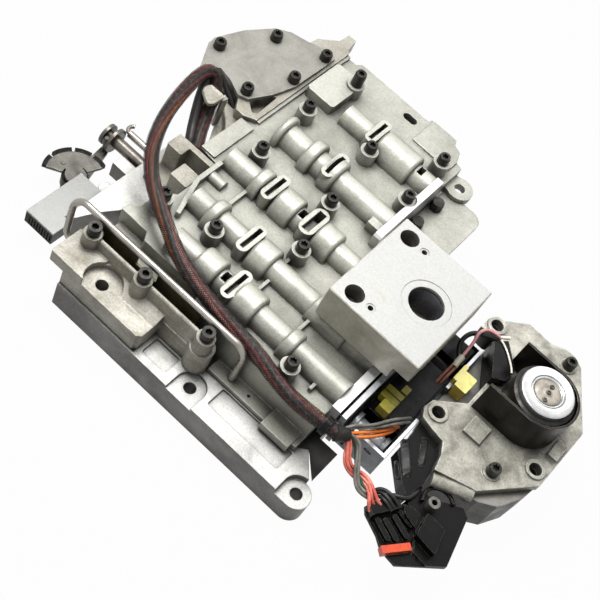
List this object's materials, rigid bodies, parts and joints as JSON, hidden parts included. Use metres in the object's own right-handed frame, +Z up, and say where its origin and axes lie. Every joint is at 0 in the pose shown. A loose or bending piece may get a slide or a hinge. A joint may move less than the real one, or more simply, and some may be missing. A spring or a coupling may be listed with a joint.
{
  "type": "transmission valve body",
  "caption": "Aluminium valve body of an automatic transmission with valve bores, solenoids, a loom, a machined port block and a pressure unit.",
  "frame": {"origin": "in the base face of the lower casting, on the middle underside rib, 11.7 mm right of and 82.4 mm behind the front bolt hole", "axes": "+X along the valve bores towards the solenoids, +Y from the front ears to the cover at the rear, +Z up from the base face"},
  "size_m": [0.399, 0.3236, 0.0956],
  "materials": {
    "black_oxide_steel": "black oxide",
    "black_plastic": "moulded, matt",
    "braided_sleeve": "woven sleeve with coloured tracers",
    "bright_steel": "satin",
    "cast_aluminium": "as cast, lightly stained",
    "dark_cast_aluminium": "as cast, oil stained",
    "dark_steel_sheet": "dark rolled sheet",
    "grey_insulation": "smooth",
    "machined_aluminium": "milled",
    "orange_insulation": "smooth",
    "orange_plastic": "moulded",
    "pale_cast_aluminium": "blasted casting",
    "pink_insulation": "smooth",
    "yellow_plastic": "moulded",
    "zinc_sheet": "plated sheet"
  },
  "bodies": {
    "casting": {"accumulator_housing": "cast_aluminium", "block_screws": "black_oxide_steel", "boost_tube": "bright_steel", "bore_end_plate": "machined_aluminium", "bore_plugs": "machined_aluminium", "brace_screws": "black_oxide_steel", "cable_clip": "zinc_sheet", "cable_guide": "black_plastic", "coil_housing": "black_plastic", "conduit": "braided_sleeve", "connector_housing": "black_plastic", "connector_post": "bright_steel", "control_block": "machined_aluminium", "cover_bracket": "cast_aluminium", "cover_plate": "cast_aluminium", "cover_screws": "black_oxide_steel", "grey_leads": "grey_insulation", "insulator_plate": "black_plastic", "lockup_solenoid": "zinc_sheet", "lower_casting": "dark_cast_aluminium", "module_base": "dark_cast_aluminium", "module_cover": "cast_aluminium", "module_screws": "black_oxide_steel", "orange_leads": "orange_insulation", "overdrive_solenoid": "black_plastic", "pink_lead": "pink_insulation", "pressure_solenoid": "bright_steel", "rod_bracket": "cast_aluminium", "separator_plate": "dark_steel_sheet", "side_bolts": "bright_steel", "side_plate": "cast_aluminium", "slot_keepers": "bright_steel", "solenoid_plate": "zinc_sheet", "solenoid_strap": "dark_steel_sheet", "square_plug": "yellow_plastic", "switch_body": "black_plastic", "switch_cover": "zinc_sheet", "terminal_block": "black_plastic", "tube_brace": "dark_steel_sheet", "upper_casting": "pale_cast_aluminium", "upper_screws": "black_oxide_steel", "valve_end_plate": "machined_aluminium", "valve_spring_1": "bright_steel", "valve_spring_2": "bright_steel", "valve_spring_3": "bright_steel", "valve_spring_4": "bright_steel", "valve_spring_5": "bright_steel", "wiring_tray": "zinc_sheet", "yellow_plugs": "yellow_plastic"},
    "selector": {"detent_lever": "bright_steel", "sector_pads": "black_plastic"},
    "manual": {"manual_valve": "bright_steel"},
    "plunger": {"throttle_plunger": "bright_steel"},
    "lock": {"connector_lock": "orange_plastic"},
    "spool_1": {"shift_valve_1": "bright_steel"},
    "spool_2": {"shift_valve_2": "bright_steel"},
    "spool_3": {"shift_valve_3": "bright_steel"},
    "spool_4": {"shift_valve_4": "bright_steel"},
    "spool_5": {"shift_valve_5": "bright_steel"}
  },
  "joints": [
    {"name": "selector_turn", "type": "hinge", "parent": "casting", "child": "selector", "pos_m": [-0.178, -0.0205, 0.017], "axis": [0, 0, 1], "range_deg": [0, 8]},
    {"name": "manual_slide", "type": "slide", "parent": "casting", "child": "manual", "axis": [1, 0, 0], "range_m": [-0.0065, 0]},
    {"name": "plunger_slide", "type": "slide", "parent": "casting", "child": "plunger", "axis": [1, 0, 0], "range_m": [0, 0.005], "stiffness_N_per_m": 400},
    {"name": "lock_lift", "type": "slide", "parent": "casting", "child": "lock", "axis": [0, 0, 1], "range_m": [0, 0.0025]},
    {"name": "spool_1_slide", "type": "slide", "parent": "casting", "child": "spool_1", "axis": [-1, 0, 0], "range_m": [0, 0.004], "stiffness_N_per_m": 600, "deforming": ["valve_spring_1"]},
    {"name": "spool_2_slide", "type": "slide", "parent": "casting", "child": "spool_2", "axis": [-1, 0, 0], "range_m": [0, 0.004], "stiffness_N_per_m": 600, "deforming": ["valve_spring_2"]},
    {"name": "spool_3_slide", "type": "slide", "parent": "casting", "child": "spool_3", "axis": [-1, 0, 0], "range_m": [0, 0.004], "stiffness_N_per_m": 600, "deforming": ["valve_spring_3"]},
    {"name": "spool_4_slide", "type": "slide", "parent": "casting", "child": "spool_4", "axis": [-1, 0, 0], "range_m": [0, 0.004], "stiffness_N_per_m": 600, "deforming": ["valve_spring_4"]},
    {"name": "spool_5_slide", "type": "slide", "parent": "casting", "child": "spool_5", "axis": [-1, 0, 0], "range_m": [0, 0.004], "stiffness_N_per_m": 600, "deforming": ["valve_spring_5"]}
  ],
  "couplings": [
    {"joint": "manual_slide", "follows": "selector_turn", "m_per_rad": -0.0428}
  ]
}
